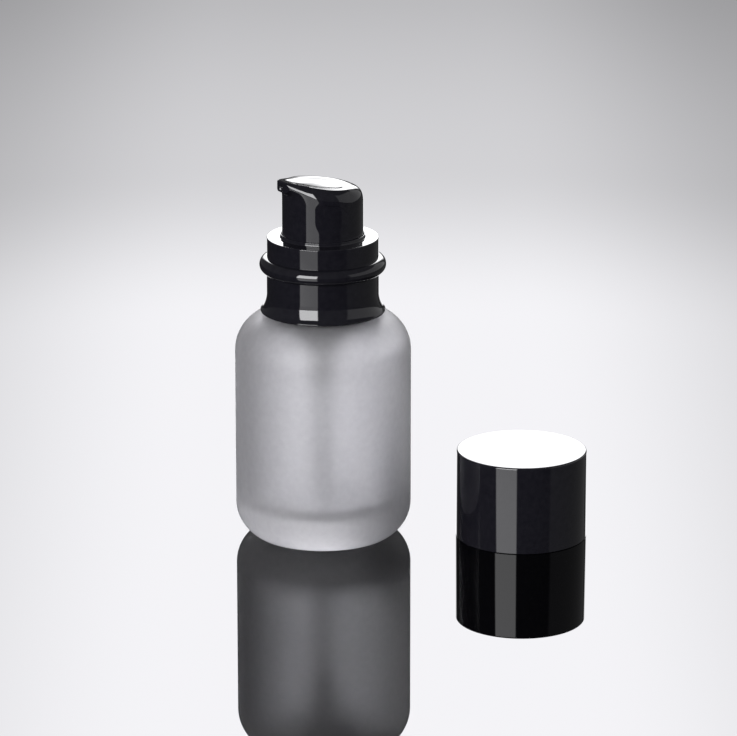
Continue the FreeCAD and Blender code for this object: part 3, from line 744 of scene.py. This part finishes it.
def make_sky():
    """Studio light as soft patches on the sky. The camera, and its sharp mirror image in the floor,
    see a pale surround instead. Rays inside glass, or after a matt bounce, see the strip dimmed and
    one more panel at the side."""
    world = bpy.data.worlds.new("studio")
    bpy.context.scene.world = world
    world.use_nodes = True
    tree = world.node_tree
    tree.nodes.clear()
    shader = Shader(tree)
    direction = shader.add("ShaderNodeTexCoord").outputs["Generated"]
    path = shader.add("ShaderNodeLightPath")
    inside_glass = shader.math("ADD", path.outputs["Transmission Depth"], path.outputs["Diffuse Depth"])
    inside_glass = shader.math("MINIMUM", inside_glass, 1.0)
    strip_share = shader.math("MULTIPLY_ADD", inside_glass, STRIP_SHARE_IN_GLASS - 1, 1.0)
    strip = shader.math("MULTIPLY", panel(shader, direction, *STRIP), strip_share)
    glass_side = shader.math("MULTIPLY", panel(shader, direction, *GLASS_SIDE), inside_glass)
    light = shader.math("ADD", strip, shader.math("ADD", glass_side, AMBIENT))
    for patch in (BACKDROP, SIDE):
        light = shader.math("ADD", light, panel(shader, direction, *patch))
    seen = path.outputs["Is Camera Ray"]
    pale = shader.math("MULTIPLY_ADD", seen, SURROUND_SEEN - SURROUND, SURROUND)
    surround = shader.math("MAXIMUM", seen, path.outputs["Is Singular Ray"])
    studio = shader.add("ShaderNodeBackground")
    studio.inputs["Color"].default_value = STUDIO_COLOUR
    shader.link(light, studio.inputs["Strength"])
    around = shader.add("ShaderNodeBackground")
    around.inputs["Color"].default_value = SURROUND_COLOUR
    shader.link(pale, around.inputs["Strength"])
    mix = shader.add("ShaderNodeMixShader")
    shader.link(surround, mix.inputs[0])
    shader.link(studio.outputs[0], mix.inputs[1])
    shader.link(around.outputs[0], mix.inputs[2])
    out = shader.add("ShaderNodeOutputWorld")
    shader.link(mix.outputs[0], out.inputs["Surface"])


def grey_level(shader, level):
    """A grey colour from one number."""
    grey = shader.add("ShaderNodeCombineColor")
    for socket in grey.inputs[:3]:
        shader.link(level, socket)
    return grey.outputs[0]


def painted_light_pool(shader):
    """Painted pool of light on the floor as seen: full near the bottle, fading to both sides and with
    distance.
    """
    place = shader.add("ShaderNodeTexCoord").outputs["Object"]
    along, aside, _ = turned_parts(shader, place, CAMERA_TURN)
    off_middle = shader.math("ABSOLUTE", shader.math("SUBTRACT", aside, PAINTED_POOL_MIDDLE))
    sideways = shader.ramp(off_middle, *PAINTED_POOL_SIDES)
    away = shader.math("SQRT", shader.math("ADD", shader.math("MULTIPLY", along, along),
                                           shader.math("MULTIPLY", off_middle, off_middle)))
    near = shader.ramp(away, *PAINTED_POOL_NEAR)
    far = shader.ramp(away, *PAINTED_POOL_FAR)
    return shader.math("MULTIPLY", shader.math("MULTIPLY", near, far), sideways)


def make_floor():
    """Wide polished floor. The camera sees a sharp mirror with the fades of a painted pool of light. Other
    rays see a slightly blurred one, darkened by painted shade on the camera's side and brighter for rays
    that have come through glass."""
    corners = [(-1, -1), (1, -1), (1, 1), (-1, 1)]
    mesh = bpy.data.meshes.new("floor")
    mesh.from_pydata([(x * FLOOR_HALF, y * FLOOR_HALF, 0) for x, y in corners], [], [(0, 1, 2, 3)])
    floor = bpy.data.objects.new("floor", mesh)
    bpy.context.scene.collection.objects.link(floor)
    floor.location.z = -FLOOR_DROP
    mat = bpy.data.materials.new("polished_floor")
    mat.use_nodes = True
    mat.node_tree.nodes.clear()
    shader = Shader(mat.node_tree)
    seen = shader.add("ShaderNodeBsdfGlossy")
    seen.inputs["Roughness"].default_value = 0.0
    # Painted pool of light in the floor's mirror colour, as the camera sees it
    level = shader.math("MULTIPLY", painted_light_pool(shader), FLOOR_SEEN)
    shader.link(grey_level(shader, level), seen.inputs["Color"])
    bounced = shader.add("ShaderNodeBsdfGlossy")
    bounced.inputs["Roughness"].default_value = BOUNCE_ROUGHNESS
    path = shader.add("ShaderNodeLightPath")
    place = shader.add("ShaderNodeTexCoord").outputs["Object"]
    along, _, _ = turned_parts(shader, place, CAMERA_TURN)
    # Painted shade: the floor mirrors less to other rays on the camera's side
    front = shader.ramp(along, *PAINTED_BOUNCE_SHADE)
    through = shader.math("MINIMUM", path.outputs["Transmission Depth"], 1.0)
    bounce = shader.math("ADD", shader.math("MULTIPLY", front, FLOOR_BOUNCED),
                         shader.math("MULTIPLY", through, FLOOR_BOUNCED_IN_GLASS - FLOOR_BOUNCED))
    shader.link(grey_level(shader, bounce), bounced.inputs["Color"])
    mix = shader.add("ShaderNodeMixShader")
    shader.link(path.outputs["Is Camera Ray"], mix.inputs[0])
    shader.link(bounced.outputs[0], mix.inputs[1])
    shader.link(seen.outputs[0], mix.inputs[2])
    out = shader.add("ShaderNodeOutputMaterial")
    shader.link(mix.outputs[0], out.inputs["Surface"])
    mesh.materials.append(mat)


def make_camera():
    """A long lens, turned about the bottle and looking down at it."""
    turn = math.radians(CAMERA_TURN)
    data = bpy.data.cameras.new("camera")
    data.sensor_width = SENSOR_WIDTH
    data.sensor_fit = "HORIZONTAL"
    data.lens = LENS
    data.clip_end = CLIP_END
    camera = bpy.data.objects.new("camera", data)
    bpy.context.scene.collection.objects.link(camera)
    camera.location = (-CAMERA_DISTANCE * math.sin(turn) * MM, -CAMERA_DISTANCE * math.cos(turn) * MM,
                       CAMERA_HEIGHT * MM)
    camera.rotation_euler = (math.radians(90 - CAMERA_PITCH), 0, -math.radians(CAMERA_TURN + CAMERA_YAW))
    bpy.context.scene.camera = camera


bpy.context.scene.view_settings.view_transform = "Standard"
make_camera()
make_sky()
make_floor()
glossy = gloss_black()
make_bottle()
make_collar(glossy)
make_cap(glossy)
make_button(glossy)
make_spring()
dress_inner_pieces()
